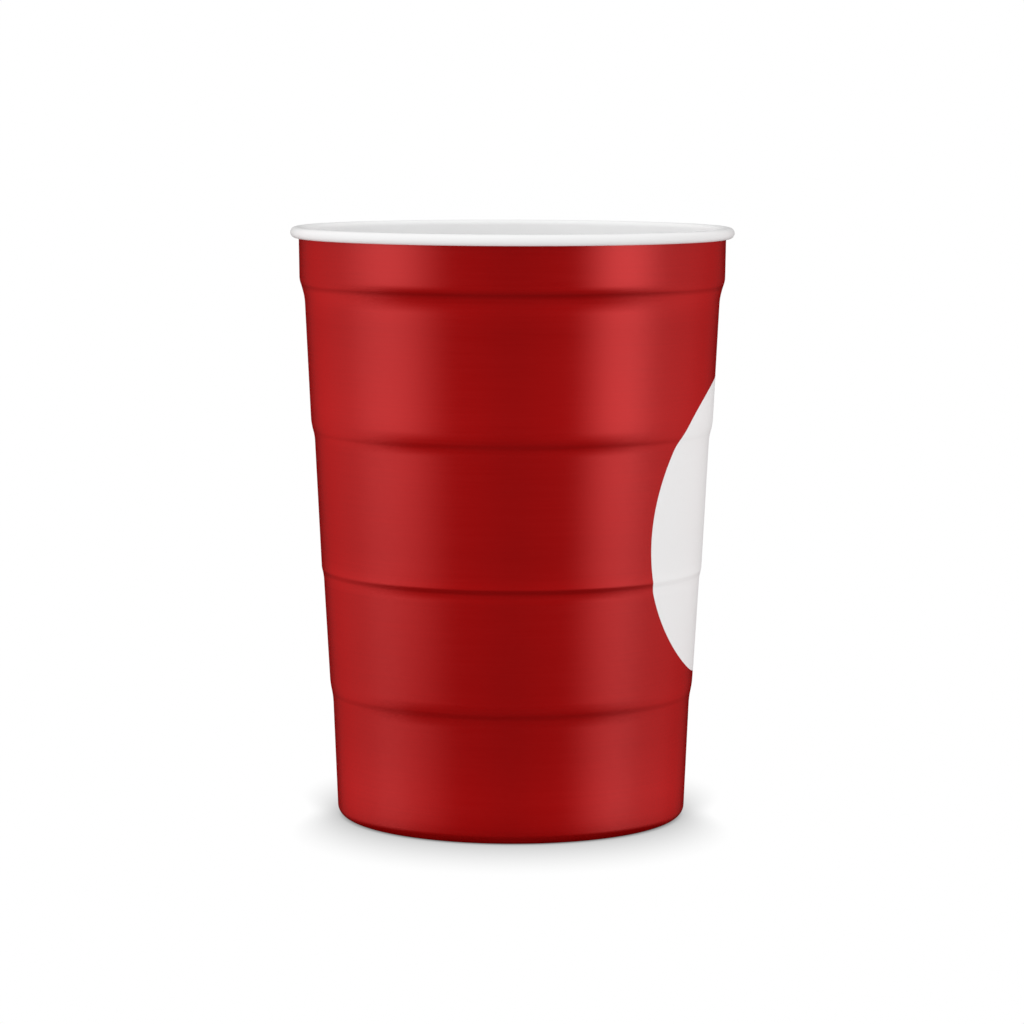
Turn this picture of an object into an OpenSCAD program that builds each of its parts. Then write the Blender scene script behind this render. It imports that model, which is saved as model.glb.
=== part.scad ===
// Tapered drinking cup, drawn from one round of steel sheet.
// The wall steps in four times on its way down, and the top edge is rolled outwards into a bead.
// The origin is the centre of the ring that the cup stands on. +Z is up, and lengths are in millimetres.

/* [Overall] */
// Height from the standing ring to the top of the bead
cup_h = 117.3; // [108:0.1:150]
// Diameter across the outside of the bead
rim_d = 87.7; // [78:0.1:110]
// Thickness of the steel sheet
sheet_t = 0.5; // [0.3:0.05:0.8]

/* [Bead] */
// Diameter of the roll in section, measured outside
bead_d = 2.15; // [1.9:0.05:4]
// Gap between the end of the roll and the wall
bead_gap = 0.1; // [0.05:0.05:0.3]

/* [Bands] */
// Height of the collar, from the top of the bead to the middle of the shoulder
collar_h = 12.4; // [8:0.1:16]
// Height of the upper band, from the shoulder to the upper step
upper_h = 27.5; // [20:0.1:32]
// Height of the middle band, from the upper step to the middle step
middle_h = 28.8; // [20:0.1:32]
// Height of the lower band, from the middle step to the lower step
lower_h = 23.5; // [16:0.1:28]
// Taper of the collar on each side, in degrees
collar_taper = 0.8; // [0:0.1:3]
// Taper of the upper band on each side, in degrees
upper_taper = 2.8; // [0:0.1:6]
// Taper of the middle band on each side, in degrees
middle_taper = 2.9; // [0:0.1:6]
// Taper of the lower band on each side, in degrees
lower_taper = 3.3; // [0:0.1:6]
// Taper of the base band on each side, in degrees
base_taper = 2.4; // [0:0.1:6]

/* [Steps] */
// How far the shoulder steps in
shoulder_in = 0.92; // [0.1:0.01:2]
// How far the upper step goes in
upper_in = 0.56; // [0.1:0.01:2]
// How far the middle step goes in
middle_in = 0.31; // [0.1:0.01:2]
// How far the lower step goes in
lower_in = 0.43; // [0.1:0.01:2]
// Height that the shoulder takes
shoulder_h = 5.4; // [2:0.1:7]
// Height that the upper step takes
upper_step_h = 4.8; // [2:0.1:7]
// Height that the middle step takes
middle_step_h = 2.6; // [2:0.1:7]
// Height that the lower step takes
lower_step_h = 5.2; // [2:0.1:7]
// Part of the shoulder's height that is rounded outwards, above the part that is hollow
shoulder_turn = 0.28; // [0.1:0.01:0.9]
// Part of the upper step's height that is rounded outwards
upper_turn = 0.57; // [0.1:0.01:0.9]
// Part of the middle step's height that is rounded outwards
middle_turn = 0.16; // [0.1:0.01:0.9]
// Part of the lower step's height that is rounded outwards
lower_turn = 0.5; // [0.1:0.01:0.9]

/* [Base] */
// Outer radius of the corner between the wall and the base
corner_r = 2; // [1:0.1:4]
// Width of the flat ring that the cup stands on
ring_w = 2.5; // [1.5:0.1:5]
// Height of the panel inside the ring above the ground
panel_rise = 1.2; // [0.4:0.1:3]
// Width of the curve between the ring and the panel
panel_edge_w = 3; // [2:0.1:6]

/* [Round field] */
// Diameter of the white field, measured along the wall
field_d = 59; // [20:1:70]
// Height of the middle of the field above the ground
field_z = 58.7; // [40:0.1:70]
// Turn of the field about the cup's axis, away from +X
field_turn = -1.1; // [-180:0.1:180]
// Thickness of the field's ink on the coat
ink_t = 0.02; // [0.01:0.01:0.1]

/* [Hidden] */

$fn = 180;
// Facets around the section of the bead
bead_fn = 48;
// Points along each curve of the section
curve_n = 10;
// Points around the outline of the round field
field_n = 48;
// Length by which a cutting shape runs past what it cuts
past = 1;

red_coat = "#AF2829";
white_coat = "#E9E9E8";

bead_r = bead_d / 2;
bead_z = cup_h - bead_r;
wall_top_r = rim_d / 2 - bead_d + sheet_t;

band_taper = [collar_taper, upper_taper, middle_taper, lower_taper, base_taper];
step_in = [shoulder_in, upper_in, middle_in, lower_in];
step_h = [shoulder_h, upper_step_h, middle_step_h, lower_step_h];
step_turn = [shoulder_turn, upper_turn, middle_turn, lower_turn];
shoulder_z = cup_h - collar_h;
upper_z = shoulder_z - upper_h;
middle_z = upper_z - middle_h;
lower_z = middle_z - lower_h;
// Heights at which one band gives way to the next, from the bead to the ground
band_z = [bead_z, shoulder_z, upper_z, middle_z, lower_z, 0];

corner_x = wall_r(0) + corner_r * (tan(base_taper) - 1 / cos(base_taper));
panel_r = corner_x - ring_w - panel_edge_w;

function sum(v, i = 0) = i < len(v) ? v[i] + sum(v, i + 1) : 0;
function clamp(x, low, high) = max(low, min(high, x));
function arc_degrees(length, radius) = length / radius * 180 / PI;

// Smooth rise from 0 to 1
function ease(u) = (1 - cos(180 * clamp(u, 0, 1))) / 2;

// Rise from 0 to 1 in two parabolas that meet at the turn with one slope
function step_share(u, turn) = u < turn
    ? pow(clamp(u, 0, 1), 2) / turn
    : 1 - pow(1 - clamp(u, 0, 1), 2) / (1 - turn);

// Radius of the wall's outer face at a height
function wall_r(z) = wall_top_r
    - sum([for (k = [0:4]) tan(band_taper[k]) * clamp(band_z[k] - z, 0, band_z[k] - band_z[k + 1])])
    - sum([for (k = [0:3])
        step_in[k] * step_share((band_z[k + 1] - z) / step_h[k] + 0.5, step_turn[k])]);

// Angle by which the wall leans out at a height
function wall_lean(z, dz = 0.01) = atan((wall_r(z + dz) - wall_r(z - dz)) / (2 * dz));

// Point of the wall, at a depth below its outer face
function wall_point(z, depth) =
    [wall_r(z) - depth * cos(wall_lean(z)), z + depth * sin(wall_lean(z))];

// Height of the base's lower face at a radius
function base_z(r) = panel_rise * (1 - ease((r - panel_r) / panel_edge_w));

// Slope of the base at a radius, as an angle
function base_slope(r, dr = 0.01) = atan((base_z(r + dr) - base_z(r - dr)) / (2 * dr));

// Point of the base, at a depth above its lower face
function base_point(r, depth) =
    [r - depth * sin(base_slope(r)), base_z(r) + depth * cos(base_slope(r))];

// Section of one face of the sheet, from the middle of the base to the foot of the bead
function face(depth) = concat(
    [[0, panel_rise + depth]],
    [for (i = [0:curve_n]) base_point(panel_r + panel_edge_w * i / curve_n, depth)],
    [for (i = [0:curve_n])
        let (a = -90 + (90 - base_taper) * i / curve_n)
        [corner_x, corner_r] + (corner_r - depth) * [cos(a), sin(a)]],
    [for (k = [3:-1:0], i = [0:curve_n])
        wall_point(band_z[k + 1] + step_h[k] * (i / curve_n - 0.5), depth)],
    [[wall_top_r - depth, bead_z]]
);

// The cup's outer form, filled up to the foot of the bead, and grown on every side if asked
module outer_form(growth = 0) {
    rotate_extrude()
        polygon(concat(face(-growth), [[0, bead_z]]));
}

// The space inside the cup
module inner_form() {
    rotate_extrude()
        polygon(concat(face(sheet_t), [[wall_top_r - sheet_t, bead_z + past], [0, bead_z + past]]));
}

// The column that bounds the round field, shaped so that the field is a true circle along the wall
module field_column() {
    rotate([90, 0, 90 + field_turn])
        linear_extrude(rim_d / 2)
            polygon([for (i = [0:field_n - 1])
                let (a = 360 * i / field_n,
                     z = field_z + field_d / 2 * sin(a),
                     turn = arc_degrees(field_d / 2 * cos(a), wall_r(z)))
                [wall_r(z) * sin(turn), z]]);
}

// The sheet's wall and base, red outside with the white field in ink, and white inside
module wall() {
    difference() {
        union() {
            color(red_coat)
                outer_form();
            color(white_coat)
                intersection() {
                    outer_form(ink_t);
                    field_column();
                }
        }
        color(white_coat)
            inner_form();
    }
}

// The edge of the sheet, rolled outwards until its end comes back to the wall
module bead() {
    end_angle = acos((bead_r - sheet_t - bead_gap) / bead_r);
    color(white_coat)
        rotate_extrude()
            translate([rim_d / 2 - bead_r, bead_z])
                difference() {
                    circle(bead_r, $fn = bead_fn);
                    circle(bead_r - sheet_t, $fn = bead_fn);
                    polygon([[0, 0], [-bead_d, 0], bead_d * [-1, -tan(end_angle)]]);
                }
}

module cup() {
    wall();
    bead();
}

cup();
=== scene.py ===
# %% [markdown]
# # A steel party cup
# The real cup is one round of steel sheet, drawn into a tapered beaker. Its wall steps in four
# times on the way down, its top edge is rolled outwards into a bead, and it is lacquered red
# outside and enamelled white inside. A white round field is printed on one side.
#
# The construction is already packed as a fixed frame, so the first step is to load it and to
# keep its box. Everything below is in metres, in the frame's own axes: +Z is up along the cup's
# axis, +X points at the middle of the white field, and the cup stands on z = 0.

# %% Load the frame
import math

import bmesh
import bpy
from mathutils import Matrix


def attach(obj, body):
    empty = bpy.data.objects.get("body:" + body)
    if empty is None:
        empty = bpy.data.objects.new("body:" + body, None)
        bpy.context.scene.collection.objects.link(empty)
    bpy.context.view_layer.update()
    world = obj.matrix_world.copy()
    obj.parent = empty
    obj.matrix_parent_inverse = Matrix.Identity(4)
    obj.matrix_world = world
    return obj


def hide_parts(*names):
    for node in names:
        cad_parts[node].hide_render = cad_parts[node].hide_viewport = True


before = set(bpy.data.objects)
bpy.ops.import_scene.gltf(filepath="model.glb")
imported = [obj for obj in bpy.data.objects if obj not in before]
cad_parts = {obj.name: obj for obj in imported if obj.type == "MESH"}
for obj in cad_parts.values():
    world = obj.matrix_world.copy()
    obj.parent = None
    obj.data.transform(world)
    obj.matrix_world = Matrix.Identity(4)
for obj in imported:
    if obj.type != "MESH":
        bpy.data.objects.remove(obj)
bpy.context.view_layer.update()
scene = bpy.context.scene
mm = 0.001

# %% [markdown]
# ## The camera
# The photograph is a product shot with a long lens, from about three quarters of a metre, and a
# little above the rim. The long lens keeps the sides of the cup nearly parallel. Its frame is
# square, so the 36 mm sensor width counts for both sides.

# %% Camera
camera_distance = 740.3 * mm
camera_height = 142.7 * mm
camera_aside = -0.16 * mm
camera_tilt = 6.33
camera_roll = -0.163
lens_length = 131.4
sensor_width = 36

camera_data = bpy.data.cameras.new("camera")
camera_data.lens = lens_length
camera_data.sensor_width = sensor_width
camera = bpy.data.objects.new("camera", camera_data)
camera.location = (camera_aside, -camera_distance, camera_height)
camera.rotation_euler = (math.radians(90 - camera_tilt), math.radians(camera_roll), 0)
scene.collection.objects.link(camera)
scene.camera = camera
print("camera", [round(place / mm, 1) for place in camera.location], "mm, lens", lens_length)

# %% [markdown]
# ## The section of the sheet
# A drawn cup is a body of revolution, so its whole shape is one line: the section of the sheet.
# It could be modelled by pushing loops of a cylinder about, but a formula keeps every band and
# step at its real size. The radius of the wall is a straight taper in each of the five bands,
# less a step at each joint between them.

# %% Sizes of the wall
cup_h = 117.3 * mm
rim_d = 87.7 * mm
sheet_t = 0.5 * mm
bead_d = 2.15 * mm
bead_gap = 0.1 * mm
bead_r = bead_d / 2
bead_z = cup_h - bead_r
wall_top_r = rim_d / 2 - bead_d + sheet_t

# The bands from the rim down: collar, upper, middle, lower and base
band_h = [12.4 * mm, 27.5 * mm, 28.8 * mm, 23.5 * mm]
band_taper = [math.radians(taper) for taper in (0.8, 2.8, 2.9, 3.3, 2.4)]
step_in = [0.92 * mm, 0.56 * mm, 0.31 * mm, 0.43 * mm]
step_h = [5.4 * mm, 4.8 * mm, 2.6 * mm, 5.2 * mm]
step_turn = [0.28, 0.57, 0.16, 0.5]
band_z = [bead_z] + [cup_h - sum(band_h[:k + 1]) for k in range(4)] + [0]
print("steps at", [round(z / mm, 1) for z in band_z[1:5]], "mm above the table")

# %% [markdown]
# Each step is what two rounded tool edges leave in the sheet: the metal turns in over a shoulder
# and back again in a hollow. Two parabolas draw it, one for each, and they meet at the turn with
# the same slope. A step that turns early has a tight shoulder and a long hollow, and one that
# turns late is the other way round. Both ends run into the straight bands without a corner, so
# the reflections run on smoothly. The base's own curve is a cosine wave, the same both ways.

# %% Radius of the wall
slope_probe = 0.01 * mm


def ease(u):
    """Smooth rise from 0 to 1."""
    return (1 - math.cos(math.pi * min(max(u, 0), 1))) / 2


def step_share(u, turn):
    """Share of a step's depth that is reached at a share of its height."""
    u = min(max(u, 0), 1)
    return u * u / turn if u < turn else 1 - (1 - u) ** 2 / (1 - turn)


def wall_r(z):
    """Radius of the wall's outer face at a height."""
    r = wall_top_r
    for k in range(5):
        r -= math.tan(band_taper[k]) * min(max(band_z[k] - z, 0), band_z[k] - band_z[k + 1])
    for k in range(4):
        r -= step_in[k] * step_share((band_z[k + 1] - z) / step_h[k] + 0.5, step_turn[k])
    return r


def wall_point(z, depth):
    """Point of the wall at a depth below its outer face, as (radius, height)."""
    rise = wall_r(z + slope_probe) - wall_r(z - slope_probe)
    lean = math.atan(rise / (2 * slope_probe))
    return wall_r(z) - depth * math.cos(lean), z + depth * math.sin(lean)


for height in (bead_z, 0):
    print("wall radius at height", round(height / mm, 2), "mm:", round(wall_r(height) / mm, 2), "mm")

# %% [markdown]
# ## The base
# A cup that stood on a flat disc would rock on every crumb. So the sheet turns in over a rounded
# corner, stands on a narrow ring, and rises to a shallow panel inside it.

# %% Base of the section
corner_r = 2 * mm
ring_w = 2.5 * mm
panel_rise = 1.2 * mm
panel_edge_w = 3 * mm
base_taper = band_taper[4]
corner_x = wall_r(0) + corner_r * (math.tan(base_taper) - 1 / math.cos(base_taper))
panel_r = corner_x - ring_w - panel_edge_w


def base_z(r):
    """Height of the base's lower face at a radius."""
    return panel_rise * (1 - ease((r - panel_r) / panel_edge_w))


def base_point(r, depth):
    """Point of the base at a depth above its lower face, as (radius, height)."""
    rise = base_z(r + slope_probe) - base_z(r - slope_probe)
    slope = math.atan(rise / (2 * slope_probe))
    return r - depth * math.sin(slope), base_z(r) + depth * math.cos(slope)


def corner_point(angle, depth):
    """Point of the corner between base and wall, as (radius, height)."""
    r = corner_r - depth
    return corner_x + r * math.cos(angle), corner_r + r * math.sin(angle)


print("the cup stands on a ring of", round(2 * corner_x / mm, 1), "mm outer diameter")

# %% [markdown]
# ## One closed line
# Both faces of the sheet are the same line at two depths. Joined by the roll at the top they make
# one closed section, so the finished mesh has a true thickness and no open edge. The rings are
# close where the sheet bends and further apart along the straight bands.

# %% The closed section
STEP_RINGS = 16
BAND_RINGS = 7
CORNER_RINGS = 10
PANEL_RINGS = 5
STAND_RINGS = 2
ROLL_RINGS = 28
RED, WHITE = 0, 1


def between(start, end, count):
    """Evenly spaced values from start to end, without the end."""
    return [start + (end - start) * i / count for i in range(count)]


def step_rings():
    """Heights of the rings of points in the four steps."""
    feet = [(band_z[k + 1] - step_h[k] / 2, step_h[k]) for k in range(4)]
    return [foot + height * i / STEP_RINGS for foot, height in feet for i in range(STEP_RINGS + 1)]


def face(depth):
    """One face of the sheet, from the middle of the base to the foot of the bead."""
    points = [(r, panel_rise + depth) for r in between(0, panel_r, PANEL_RINGS)]
    points += [base_point(r, depth) for r in between(panel_r, corner_x - ring_w, CORNER_RINGS)]
    points += [base_point(r, depth) for r in between(corner_x - ring_w, corner_x, STAND_RINGS)]
    points += [corner_point(a, depth) for a in between(-math.pi / 2, -base_taper, CORNER_RINGS)]
    foot = corner_r * (1 - math.sin(base_taper))
    for k in (3, 2, 1, 0):
        step_foot = band_z[k + 1] - step_h[k] / 2
        step_top = band_z[k + 1] + step_h[k] / 2
        points += [wall_point(z, depth) for z in between(foot, step_foot, BAND_RINGS)]
        points += [wall_point(z, depth) for z in between(step_foot, step_top, STEP_RINGS)]
        foot = step_top
    points += [wall_point(z, depth) for z in between(foot, bead_z, BAND_RINGS)]
    return points + [(wall_top_r - depth, bead_z)]


def roll(radius, start, end):
    """Arc of the bead about its own centre, with angles in radians."""
    centre = rim_d / 2 - bead_r
    turns = between(start, end, ROLL_RINGS)[1:] + [end]
    return [(centre + radius * math.cos(a), bead_z + radius * math.sin(a)) for a in turns]


roll_end = -math.pi + math.acos((bead_r - sheet_t - bead_gap) / bead_r)
outside = face(0)
inside_roll = roll(bead_r - sheet_t, math.pi, roll_end)
outside_roll = list(reversed(roll(bead_r, math.pi, roll_end))) + [(rim_d / 2 - bead_d, bead_z)]
inside = list(reversed(face(sheet_t)[:-1]))
section = outside + inside_roll + outside_roll + inside
coats = [RED] * len(outside) + [WHITE] * (len(section) - len(outside))
print("the section has", len(section), "points")

# %% [markdown]
# ## Spinning the section
# Blender's Screw modifier could spin this line, but then the two coats and the map for baking
# would have to be found again on the result. Making the rings in bmesh gives each strip of faces
# its coat at once. The map unrolls the cup: round the axis is across, and along the sheet is up.

# %% Spin
SEGMENTS = 192
MAP_EDGE = 0.004
SHARP_ANGLE = math.radians(60)
ON_AXIS = 1e-9


def finish_mesh(name, work):
    """Makes an object of a closed bmesh, shaded smooth but for its sharp edges."""
    bmesh.ops.recalc_face_normals(work, faces=work.faces)
    for part in work.faces:
        part.smooth = True
    for edge in work.edges:
        edge.smooth = edge.calc_face_angle() < SHARP_ANGLE
    mesh = bpy.data.meshes.new(name)
    work.to_mesh(mesh)
    work.free()
    piece = bpy.data.objects.new(name, mesh)
    scene.collection.objects.link(piece)
    return piece


def spin(name, points, coat_of_strip):
    """Turns a section about Z into a closed mesh with one coat for each strip of faces."""
    work = bmesh.new()
    uv = work.loops.layers.uv.new("OFBake")
    turns = [2 * math.pi * j / SEGMENTS for j in range(SEGMENTS)]
    rings = []
    for r, z in points:
        if r < ON_AXIS:
            rings.append([work.verts.new((0, 0, z))] * SEGMENTS)
        else:
            rings.append([work.verts.new((r * math.cos(a), r * math.sin(a), z)) for a in turns])
    length = [0]
    for (r0, z0), (r1, z1) in zip(points, points[1:]):
        length.append(length[-1] + math.hypot(r1 - r0, z1 - z0))
    for i in range(len(points) - 1):
        for j in range(SEGMENTS):
            after = (j + 1) % SEGMENTS
            corners = [(i, j, j), (i, after, j + 1), (i + 1, after, j + 1), (i + 1, j, j)]
            if rings[i][0] is rings[i][1]:
                corners.pop(1)
            if rings[i + 1][0] is rings[i + 1][1]:
                corners.pop(2)
            strip = work.faces.new([rings[ring][turn] for ring, turn, _ in corners])
            strip.material_index = coat_of_strip[i]
            for loop, (ring, _, column) in zip(strip.loops, corners):
                across, along = column / SEGMENTS, length[ring] / length[-1]
                loop[uv].uv = [MAP_EDGE + (1 - 2 * MAP_EDGE) * part for part in (across, along)]
    return finish_mesh(name, work)


cup = spin("lacquered_cup", section, coats)
cup_size = [round(side / mm, 2) for side in cup.dimensions]
print("cup:", len(cup.data.polygons), "faces, size", cup_size, "mm")

# %% [markdown]
# ## The printed field
# The white round field is screen printed, so it is a thin film of ink with a crisp edge, and it
# follows every step of the wall. A mask in the lacquer's material could paint it, but its edge
# would blur once the material is baked. Here it is a disc of its own, bent on to the wall: height
# is measured up the wall, and distance across is measured round it. The film is closed, with its
# face just proud of the lacquer and its back inside the sheet.
#
# A film this thin would dip under the lacquer wherever its mesh cut a corner of the wall. So its
# points lie in level rows, and inside a step the rows are at the heights of the wall's own rings.

# %% Round field
field_d = 59 * mm
field_z = 58.7 * mm
field_turn = math.radians(-1.1)
ink_t = 0.02 * mm
ink_root = 0.05 * mm
EDGE_ROWS = 110
COLUMNS = 90
RIM_CLEAR = 1 * mm
RING_CLEAR = 0.1 * mm
# Middle and size of each face on the map, and the height of the strip for the film's edge
FRONT_MAP = (0.36, 0.7)
BACK_MAP = (0.86, 0.26)
EDGE_MAP = 0.01


def field_rows():
    """Heights of the film's rows from the field's middle, with a row at each ring of the wall."""
    half = field_d / 2
    rows = [half * math.sin(math.pi * (i / EDGE_ROWS - 0.5)) for i in range(EDGE_ROWS + 1)]
    rings = [z - field_z for z in step_rings() if abs(z - field_z) < half - RIM_CLEAR]
    rows = [row for row in rows if all(abs(row - ring) > RING_CLEAR for ring in rings)]
    return sorted(rows + rings)


def on_wall(across, up, proud):
    """Point on the wall, across and up from the field's middle."""
    z = field_z + up
    turn = field_turn + across / wall_r(z)
    r = wall_r(z) + proud
    return r * math.cos(turn), r * math.sin(turn), z


def film(work, uv, proud, face_map):
    """One face of the ink film, returned as the loop of points round its edge."""
    map_middle, map_size = face_map
    spots = {}

    def point(across, up):
        vertex = work.verts.new(on_wall(across, up, proud))
        share = map_size / field_d
        spots[vertex] = (map_middle + share * across, 0.5 + share * up)
        return vertex

    heights = field_rows()
    low, high = point(0, heights[0]), point(0, heights[-1])
    rows = []
    for up in heights[1:-1]:
        half_width = math.sqrt((field_d / 2) ** 2 - up ** 2)
        rows.append([point(half_width * (2 * i / COLUMNS - 1), up) for i in range(COLUMNS + 1)])
    faces = []
    for i in range(COLUMNS):
        faces.append(work.faces.new((low, rows[0][i + 1], rows[0][i])))
        faces.append(work.faces.new((high, rows[-1][i], rows[-1][i + 1])))
        for below, above in zip(rows, rows[1:]):
            faces.append(work.faces.new((below[i], below[i + 1], above[i + 1], above[i])))
    for part in faces:
        for loop in part.loops:
            loop[uv].uv = spots[loop.vert]
    return [low] + [row[-1] for row in rows] + [high] + [row[0] for row in reversed(rows)]


def print_field(name):
    """The ink as a closed film between two bent discs."""
    work = bmesh.new()
    uv = work.loops.layers.uv.new("OFBake")
    front = film(work, uv, ink_t, FRONT_MAP)
    back = film(work, uv, -ink_root, BACK_MAP)
    for i in range(len(front)):
        after = (i + 1) % len(front)
        edge = work.faces.new((front[i], back[i], back[after], front[after]))
        for loop, (step, height) in zip(edge.loops, ((0, EDGE_MAP), (0, 0), (1, 0), (1, EDGE_MAP))):
            loop[uv].uv = ((i + step) / len(front), height)
    return finish_mesh(name, work)


round_field = print_field("round_field")
print("round field:", len(round_field.data.polygons), "faces,", round(field_d / mm), "mm across")

# %% [markdown]
# ## Helpers for materials
# Colours are written as they would be picked on a screen, as sRGB hex values, and Cycles needs
# them as linear light. Every node is added by one small function, which sets its properties and
# then fills its inputs, either with values or with links from other nodes.

# %% Colours and nodes
def linear(hex_colour):
    """An sRGB hex colour as linear RGBA."""
    parts = [int(hex_colour[i:i + 2], 16) / 255 for i in (1, 3, 5)]
    return [p / 12.92 if p <= 0.04045 else ((p + 0.055) / 1.055) ** 2.4 for p in parts] + [1]


def add_node(tree, kind, inputs=None, **settings):
    """Adds a node, sets its properties, and fills its inputs with values or links."""
    node = tree.nodes.new("ShaderNode" + kind)
    for name, value in settings.items():
        setattr(node, name, value)
    for name, value in (inputs or {}).items():
        if isinstance(value, bpy.types.NodeSocket):
            tree.links.new(value, node.inputs[name])
        else:
            node.inputs[name].default_value = value
    return node


def new_tree(name):
    """A new material, emptied of nodes, with its node tree."""
    material = bpy.data.materials.new(name)
    material.use_nodes = True
    material.node_tree.nodes.clear()
    return material, material.node_tree


# Nearly all of a noise lies between the first two, and its middle part between the last two
noise_low = 0.3
noise_high = 0.7
drift_low = 0.35
drift_high = 0.65
print("the screen's middle grey is", round(linear("#808080")[0], 3), "in linear light")

# %% [markdown]
# ## Red lacquer with metal flake
# The outside is a satin metallic lacquer: a red film full of fine metal flake, sprayed over the
# drawn steel. To the eye it is half paint and half metal. The paint between the flakes is a deep
# flat red that stays red in the shade. The flakes are small tinted mirrors, which give the broad
# red highlights. One Principled shader could only be part paint and part metal with a clear gloss
# on top, and that gloss turns the cup's sides pink. So there are two, mixed: a paint with no gloss
# of its own, and a metal whose edge tint keeps its reflections red at a glancing angle. The metal
# keeps the default IOR, and its roughness is that of a satin finish.
#
# Three things break up the film. The spray leaves a slight orange peel, about a millimetre from
# dimple to dimple. The draw marks under it run round the cup and change the gloss a little. Real
# ones are a tenth of a millimetre apart, and they are drawn four times as coarse here, so that
# they show at all. The film's thickness drifts over some centimetres, and its red with it.
#
# The tool's edge left a fine crease in each step, and each step also carries painted light and shade.
# A crisp dark line half a millimetre wide runs round the cup in each step: painted shade in the
# crease. The reflections can't draw it alone: it is as clear where the studio is even all round.
# Beside the creases, and towards the proud lower end of a band, the red is painted lighter, as
# painted highlight. A colour ramp up the cup's height holds this painted light and shade as a depth
# number. At 20 the red is left as it is, and each unit more or less darkens or lightens it by 3 per
# cent. A ramp has room for 32 stops, and the lacquer uses them all.

# %% Lacquer
paint_red = "#A80304"
paint_deep = "#A00203"
flake_red = "#B44141"
flake_edge = "#FFB6B6"
flake_share = 0.5
flake_roughness = 0.25
paint_roughness = 0.6
gloss_change = 0.02
peel_size = 1.1 * mm
peel_height = 0.002 * mm
mark_gap = 0.4 * mm
mark_length = 18 * mm
drift_size = 30 * mm
# Painted depth: the plain colour, and the deepest the ramp can hold
plain_colour_depth = 20
painted_depth_range = 40
darker_each = 0.03
# Height in millimetres and painted depth there, from the ground up, with painted shade lines in the
# steps and painted highlights beside them: the base band, the lower step, the middle step, the upper
# step, the upper band and the shoulder
painted_light_depth = [
    (0, 26), (3.5, 17), (8, 15), (18, 20),
    (23, 20.5), (24.4, 19), (24.95, 25.5), (25.5, 17.5), (27.5, 19), (30, 20),
    (46.8, 19.5), (47.7, 16.5), (48.7, 16), (49.25, 28.5), (49.8, 15.5), (50.4, 15), (52, 18.3),
    (56, 20), (75, 19), (76.5, 16), (77.05, 20.5), (77.6, 16), (79.5, 17),
    (82, 16), (99, 20),
    (102, 18.5), (104, 15.5), (105.15, 14.5), (105.7, 27), (106.25, 17.5), (107.5, 20.3), (117.3, 20.5)]


def painted_light_tone(tree, place, strength=1):
    """Grey that darkens a colour as painted shade and lightens it as painted highlight, by height."""
    height = add_node(tree, "SeparateXYZ", {0: place}).outputs["Z"]
    up = add_node(tree, "Math", {0: height, 1: cup_h}, operation="DIVIDE")
    ramp = add_node(tree, "ValToRGB", {"Fac": up.outputs[0]})
    stops = ramp.color_ramp.elements
    for stop, (_, depth) in zip(stops, (painted_light_depth[0], painted_light_depth[-1])):
        stop.color = [depth / painted_depth_range] * 3 + [1]
    for z, depth in painted_light_depth[1:-1]:
        stops.new(z * mm / cup_h).color = [depth / painted_depth_range] * 3 + [1]
    lightest = 1 + strength * darker_each * plain_colour_depth
    darkest = 1 - strength * darker_each * (painted_depth_range - plain_colour_depth)
    light_and_shade = add_node(tree, "MapRange", {
        "Value": ramp.outputs["Color"], "To Min": lightest, "To Max": darkest})
    return light_and_shade.outputs[0]


def lacquer():
    """Satin red lacquer with metal flake, sprayed over drawn steel."""
    material, tree = new_tree("flake_lacquer_red")
    place = add_node(tree, "TexCoord").outputs["Object"]
    stretch = (1 / mark_length, 1 / mark_length, 1 / mark_gap)
    along = add_node(tree, "VectorMath", {0: place, 1: stretch}, operation="MULTIPLY")
    marks = add_node(tree, "TexNoise", {"Vector": along.outputs[0], "Scale": 1, "Detail": 3})
    peel = add_node(tree, "TexNoise", {"Vector": place, "Scale": 1 / peel_size, "Detail": 1})
    drift = add_node(tree, "TexNoise", {"Vector": place, "Scale": 1 / drift_size, "Detail": 2})
    # Two noises are added, so their range is twice as high
    depth = add_node(tree, "Math", {0: marks.outputs["Fac"], 1: drift.outputs["Fac"]}, operation="ADD")
    share = add_node(tree, "MapRange", {
        "Value": depth.outputs[0], "From Min": 2 * drift_low, "From Max": 2 * drift_high})
    # A colour mix has its factor in input 0 and its two colours in inputs 6 and 7
    colour = add_node(
        tree, "Mix", {0: share.outputs[0], 6: linear(paint_deep), 7: linear(paint_red)},
        data_type="RGBA")
    # Painted shade lines in the step creases, and painted highlights beside them and low in the bands,
    # set by height
    light_and_shade = painted_light_tone(tree, place)
    paint_shaded = add_node(
        tree, "VectorMath", {0: colour.outputs[2], "Scale": light_and_shade}, operation="SCALE")
    flake_shaded = add_node(
        tree, "VectorMath", {0: linear(flake_red)[:3], "Scale": light_and_shade}, operation="SCALE")
    gloss = add_node(tree, "MapRange", {
        "Value": marks.outputs["Fac"], "From Min": noise_low, "From Max": noise_high,
        "To Min": flake_roughness - gloss_change, "To Max": flake_roughness + gloss_change})
    relief = add_node(tree, "Bump", {"Height": peel.outputs["Fac"], "Distance": peel_height})
    paint = add_node(tree, "BsdfPrincipled", {
        "Base Color": paint_shaded.outputs[0], "Roughness": paint_roughness,
        "Specular IOR Level": 0, "Normal": relief.outputs[0]})
    flake = add_node(tree, "BsdfPrincipled", {
        "Base Color": flake_shaded.outputs[0], "Metallic": 1, "Roughness": gloss.outputs[0],
        "Specular Tint": linear(flake_edge), "Normal": relief.outputs[0]})
    both = add_node(tree, "MixShader", {0: flake_share, 1: paint.outputs[0], 2: flake.outputs[0]})
    add_node(tree, "OutputMaterial", {"Surface": both.outputs[0]})
    return material


red_lacquer = lacquer()
print("lacquer:", red_lacquer.name, "with", len(red_lacquer.node_tree.nodes), "nodes")

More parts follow.
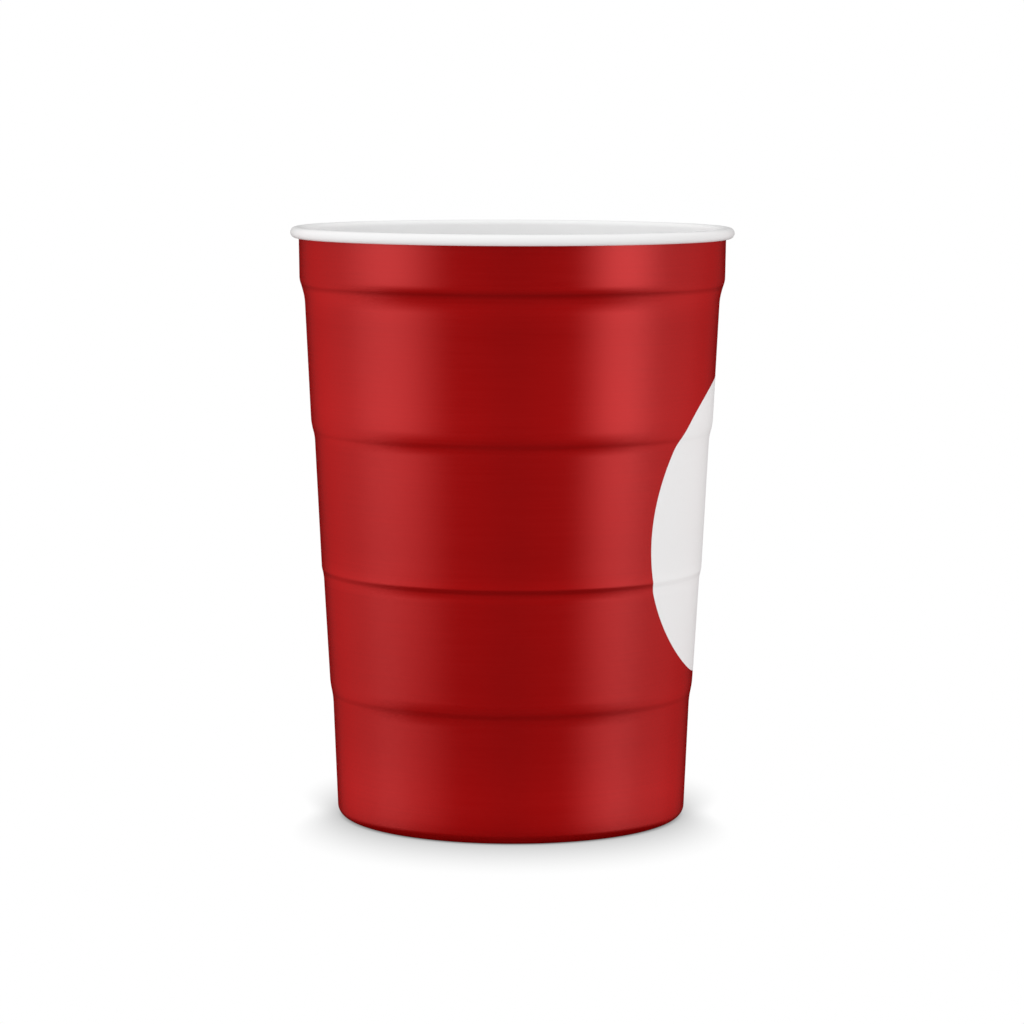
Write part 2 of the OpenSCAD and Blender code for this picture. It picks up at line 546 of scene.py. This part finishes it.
# %% [markdown]
# ## White enamel
# The inside and the bead are white, like the enamel of a camping mug: a thick film that flowed
# while it was hot. It has no metal in it, so its colour is all in the diffuse part, with a clear
# reflection on top. That reflection is kept weak: in a full one the bright strips beside the cup
# would leave marks on the white, and the photograph shows none. The flow leaves a wider and softer
# orange peel than the lacquer's, and the white is a hair greyer where the film is thin.

# %% Enamel
enamel_white = "#FAFAFA"
enamel_thin = "#F8F8F8"
enamel_roughness = 0.3
enamel_clear = 0.1
flow_size = 2.5 * mm
flow_height = 0.004 * mm


def enamel():
    """White enamel with a weak gloss."""
    material, tree = new_tree("white_enamel")
    place = add_node(tree, "TexCoord").outputs["Object"]
    flow = add_node(tree, "TexNoise", {"Vector": place, "Scale": 1 / flow_size, "Detail": 1})
    drift = add_node(tree, "TexNoise", {"Vector": place, "Scale": 1 / drift_size, "Detail": 2})
    share = add_node(tree, "MapRange", {
        "Value": drift.outputs["Fac"], "From Min": drift_low, "From Max": drift_high})
    colour = add_node(
        tree, "Mix", {0: share.outputs[0], 6: linear(enamel_thin), 7: linear(enamel_white)},
        data_type="RGBA")
    gloss = add_node(tree, "MapRange", {
        "Value": flow.outputs["Fac"], "From Min": noise_low, "From Max": noise_high,
        "To Min": enamel_roughness - gloss_change, "To Max": enamel_roughness + gloss_change})
    relief = add_node(tree, "Bump", {"Height": flow.outputs["Fac"], "Distance": flow_height})
    shader = add_node(tree, "BsdfPrincipled", {
        "Base Color": colour.outputs[2], "Roughness": gloss.outputs[0],
        "Specular IOR Level": enamel_clear, "Normal": relief.outputs[0]})
    add_node(tree, "OutputMaterial", {"Surface": shader.outputs[0]})
    return material


white_enamel = enamel()
print("enamel:", white_enamel.name, "with", len(white_enamel.node_tree.nodes), "nodes")

# %% [markdown]
# ## Screen-printing ink
# The field's ink is pushed through a fine mesh and cured. It is a little more matt than the
# enamel, its clear reflection is nearly as weak, and the mesh leaves a faint tooth in it. A real
# mesh has about four threads to a millimetre. The tooth is drawn at half a millimetre, because a
# finer one would not show. The lacquer's painted shade lines and painted highlights in the steps
# are laid on the ink too, faintly, at a fifth of their strength.

# %% Ink
ink_white = "#FCFCFC"
ink_thin = "#FAFAFA"
ink_roughness = 0.38
ink_gloss_change = 0.03
ink_clear = 0.15
ink_shade_strength = 0.2
tooth_size = 0.5 * mm
tooth_height = 0.003 * mm


def ink():
    """Matt white printing ink."""
    material, tree = new_tree("white_screen_ink")
    place = add_node(tree, "TexCoord").outputs["Object"]
    tooth = add_node(tree, "TexNoise", {"Vector": place, "Scale": 1 / tooth_size, "Detail": 2})
    colour = add_node(
        tree, "Mix", {0: tooth.outputs["Fac"], 6: linear(ink_thin), 7: linear(ink_white)},
        data_type="RGBA")
    # The steps' painted shade and painted highlights, at a fifth of their strength
    light_and_shade = painted_light_tone(tree, place, ink_shade_strength)
    ink_shaded = add_node(
        tree, "VectorMath", {0: colour.outputs[2], "Scale": light_and_shade}, operation="SCALE")
    gloss = add_node(tree, "MapRange", {
        "Value": tooth.outputs["Fac"], "From Min": noise_low, "From Max": noise_high,
        "To Min": ink_roughness - ink_gloss_change, "To Max": ink_roughness + ink_gloss_change})
    relief = add_node(tree, "Bump", {"Height": tooth.outputs["Fac"], "Distance": tooth_height})
    shader = add_node(tree, "BsdfPrincipled", {
        "Base Color": ink_shaded.outputs[0], "Roughness": gloss.outputs[0],
        "Specular IOR Level": ink_clear, "Normal": relief.outputs[0]})
    add_node(tree, "OutputMaterial", {"Surface": shader.outputs[0]})
    return material


white_ink = ink()
print("ink:", white_ink.name, "with", len(white_ink.node_tree.nodes), "nodes")

# %% [markdown]
# ## Dressing the frame
# The two pieces ride on the cup's one body, and the spun cup stands for the imported solid, which
# stays behind it for collision, hidden. The strips of the section already know their coat: slot 0 is
# the lacquer and slot 1 is the enamel.

# %% Dress
for coat in (red_lacquer, white_enamel):
    cup.data.materials.append(coat)
round_field.data.materials.append(white_ink)

for piece in (cup, round_field):
    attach(piece, "root")
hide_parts("cup")
print("coats:", [coat.name for coat in cup.data.materials])

# %% [markdown]
# ## The floor
# The photograph has a pure white ground on which only a soft contact shadow is left. A lit white
# floor would need so much light that the cup would burn out. So the camera sees a floor that
# glows at exactly white, and Ambient Occlusion takes the glow away where the cup stands over it:
# a painted contact shadow, not one cast by the lamp. The painted shadow reaches further to the
# front and the back than to the sides. For all other light the floor is a plain pale card that bounces
# as paper does.
# The lacquer's reflections don't see it: one of the cards further on takes its place in them.

# %% Floor
floor_size = 8
floor_bounce = "#E6E6E6"
shade_side = 6 * mm
shade_front = 28 * mm
shade_depth = 0.8
shade_samples = 16


def seen_directly(tree):
    """1 for rays that show the backdrop: camera, glossy and transmission rays."""
    path = add_node(tree, "LightPath").outputs
    camera_or_glossy = add_node(
        tree, "Math", {0: path["Is Camera Ray"], 1: path["Is Glossy Ray"]}, operation="MAXIMUM")
    any_of_three = add_node(
        tree, "Math", {0: camera_or_glossy.outputs[0], 1: path["Is Transmission Ray"]},
        operation="MAXIMUM")
    return any_of_three.outputs[0]


def white_ground():
    """A floor that is white to the camera but for a painted contact shadow, and pale paper to light."""
    material, tree = new_tree("white_ground")
    place = add_node(tree, "NewGeometry").outputs["Position"]
    flat = add_node(tree, "VectorMath", {0: place, 1: (1, 1, 0)}, operation="MULTIPLY")
    way = add_node(tree, "VectorMath", {0: flat.outputs[0]}, operation="NORMALIZE")
    sides = (shade_side, shade_front, 0)
    oval = add_node(tree, "VectorMath", {0: way.outputs[0], 1: sides}, operation="MULTIPLY")
    reach = add_node(tree, "VectorMath", {0: oval.outputs[0]}, operation="LENGTH").outputs["Value"]
    # Painted contact shadow: the floor's glow is dimmed where Ambient Occlusion finds the cup close by
    open_sky = add_node(tree, "AmbientOcclusion", {"Distance": reach}, samples=shade_samples)
    shade = add_node(tree, "MapRange", {
        "Value": open_sky.outputs["AO"], "To Min": 1 - shade_depth, "To Max": 1})
    glow = add_node(tree, "Emission", {"Strength": shade.outputs[0]})
    paper = add_node(tree, "BsdfDiffuse", {"Color": linear(floor_bounce)})
    surface = add_node(tree, "MixShader", {
        0: seen_directly(tree), 1: paper.outputs[0], 2: glow.outputs[0]})
    add_node(tree, "OutputMaterial", {"Surface": surface.outputs[0]})
    return material


def stage_mesh(name, points, faces, material):
    """A mesh that belongs to the studio and not to the cup."""
    mesh = bpy.data.meshes.new(name)
    mesh.from_pydata(points, [], faces)
    mesh.materials.append(material)
    thing = bpy.data.objects.new(name, mesh)
    scene.collection.objects.link(thing)
    return thing


half = floor_size / 2
corners = [(-half, -half, 0), (half, -half, 0), (half, half, 0), (-half, half, 0)]
floor = stage_mesh("floor", corners, [(0, 1, 2, 3)], white_ground())
floor.visible_glossy = False
print("floor:", floor_size, "m square")

# %% [markdown]
# ## World and lamp
# The world is the white studio: exactly white to the camera and in reflections, and an even fill
# for everything else. One large soft lamp stands in front, to the left, and 45 degrees up. It gives
# the white parts their form, with the top of the bead brighter than its front.

# %% World and lamp
white = "#FFFFFF"
fill_level = 0.9
lamp_power = 2.8
lamp_size = 1.2
lamp_distance = 1.4
lamp_elevation = math.radians(45)
lamp_azimuth = math.radians(-45)

world = bpy.data.worlds.new("white_studio")
world.use_nodes = True
world.node_tree.nodes.clear()
level = add_node(world.node_tree, "MapRange", {
    "Value": seen_directly(world.node_tree), "To Min": fill_level, "To Max": 1})
backdrop = add_node(world.node_tree, "Background", {
    "Color": linear(white), "Strength": level.outputs[0]})
add_node(world.node_tree, "OutputWorld", {"Surface": backdrop.outputs[0]})
scene.world = world

lamp_data = bpy.data.lights.new("softbox", "AREA")
lamp_data.energy = lamp_power
lamp_data.size = lamp_size
lamp = bpy.data.objects.new("softbox", lamp_data)
lamp.location = (
    lamp_distance * math.cos(lamp_elevation) * math.sin(lamp_azimuth),
    -lamp_distance * math.cos(lamp_elevation) * math.cos(lamp_azimuth),
    cup_h / 2 + lamp_distance * math.sin(lamp_elevation))
lamp.rotation_euler = (math.pi / 2 - lamp_elevation, 0, lamp_azimuth)
scene.collection.objects.link(lamp)
print("lamp at", [round(place, 2) for place in lamp.location], "m")

# %% [markdown]
# ## Cards for the reflections
# A satin metallic wall is mostly a picture of the studio round it, so its look is made with
# cards, as a photographer makes it. Two bright strips, left and right, are the two highlights.
# Dim red cards in front make the dark middle of the cup, and their tint keeps it a pure red. A
# pale card goes round the sides and the back, and a black one stands right behind for the dark
# edges. A dim red card lies low down all round, as a dark table top would. The wall leans down
# towards it in each step, which draws the dark lines there, and so does the curve of the base.
#
# Each card is a patch of a sphere about the cup, and it fades out towards its edges. A nearer card
# covers those behind it. Only glossy rays see them, so they change next to nothing in the white
# parts and never show to the camera.

# %% Cards
# Degrees from point to point of a card
card_grid = 2
front_red = "#FF5050"
side_red = "#FFE0E0"


def smooth_rise(value):
    """Smoothstep from 0 to 1."""
    u = min(max(value, 0), 1)
    return u * u * (3 - 2 * u)


def fade_in(value, ends, softness):
    """1 inside a range, falling to 0 at its ends over the softness."""
    return smooth_rise((value - ends[0]) / softness) * smooth_rise((ends[1] - value) / softness)


def card_glow(name, colour, brightness):
    """A glow that fades to nothing where the mesh's fade attribute is 0."""
    material, tree = new_tree(name)
    fade = add_node(tree, "Attribute", attribute_name="fade").outputs["Fac"]
    clear = add_node(tree, "BsdfTransparent")
    glow = add_node(tree, "Emission", {"Color": linear(colour), "Strength": brightness})
    surface = add_node(tree, "MixShader", {0: fade, 1: clear.outputs[0], 2: glow.outputs[0]})
    add_node(tree, "OutputMaterial", {"Surface": surface.outputs[0]})
    material.cycles.emission_sampling = "NONE"
    return material


def grid_angles(ends):
    """Angles from one end to the other, about a grid step apart."""
    count = math.ceil((ends[1] - ends[0]) / card_grid)
    return [ends[0] + (ends[1] - ends[0]) * i / count for i in range(count + 1)]


def only_in_reflections(thing):
    """Hides a thing from every ray but glossy ones."""
    thing.visible_camera = False
    thing.visible_diffuse = False
    thing.visible_transmission = False
    thing.visible_volume_scatter = False
    thing.visible_shadow = False


def card(name, colour, brightness, distance, azimuths, side_fade, elevations, end_fade):
    """A soft-edged card, placed by angles in degrees from the camera's side of the cup."""
    around, upward = grid_angles(azimuths), grid_angles(elevations)
    points, fades, faces = [], [], []
    for elevation in upward:
        for azimuth in around:
            a, e = math.radians(azimuth), math.radians(elevation)
            points.append((
                distance * math.cos(e) * math.sin(a),
                -distance * math.cos(e) * math.cos(a),
                cup_h / 2 + distance * math.sin(e)))
            whole_ring = azimuths[1] - azimuths[0] >= 360
            side = 1 if whole_ring else fade_in(azimuth, azimuths, side_fade)
            fades.append(side * fade_in(elevation, elevations, end_fade))
    row = len(around)
    for i in range(len(upward) - 1):
        for j in range(row - 1):
            first = i * row + j
            faces.append((first, first + 1, first + row + 1, first + row))
    thing = stage_mesh(name, points, faces, card_glow(name, colour, brightness))
    thing.data.attributes.new("fade", "FLOAT", "POINT").data.foreach_set("value", fades)
    only_in_reflections(thing)
    return thing


# Name, colour, brightness, distance in metres, and then in degrees: the ends round the cup with
# their fade, and the ends up and down with theirs
cards = [
    card("side_card", side_red, 1, 1.75, (72, 286), 30, (-80, 80), 10),
    card("back_card", side_red, 0.75, 1.7, (112, 239), 30, (-80, 80), 10),
    card("back_core", white, 0, 1.65, (137, 223), 26, (-80, 80), 10),
    card("front_card", front_red, 0.5, 1.7, (-96, 82), 37, (-70, 50), 10),
    card("front_core", front_red, 0.38, 1.65, (-24.5, 24.5), 24, (-70, 50), 10),
    card("low_card", front_red, 0.16, 1.6, (0, 360), 0, (-100, -17.4), 20),
    card("left_strip", white, 2.24, 1.5, (-106, -29), 37, (-27, 60), 37),
    card("right_strip", white, 2.63, 1.5, (31, 90.5), 27, (-27, 60), 37),
]
print("cards:", ", ".join(thing.name for thing in cards))

# %% [markdown]
# ## Last lines
# The Standard view transform shows each colour as it was written.

# %% Finish
scene.view_settings.view_transform = "Standard"
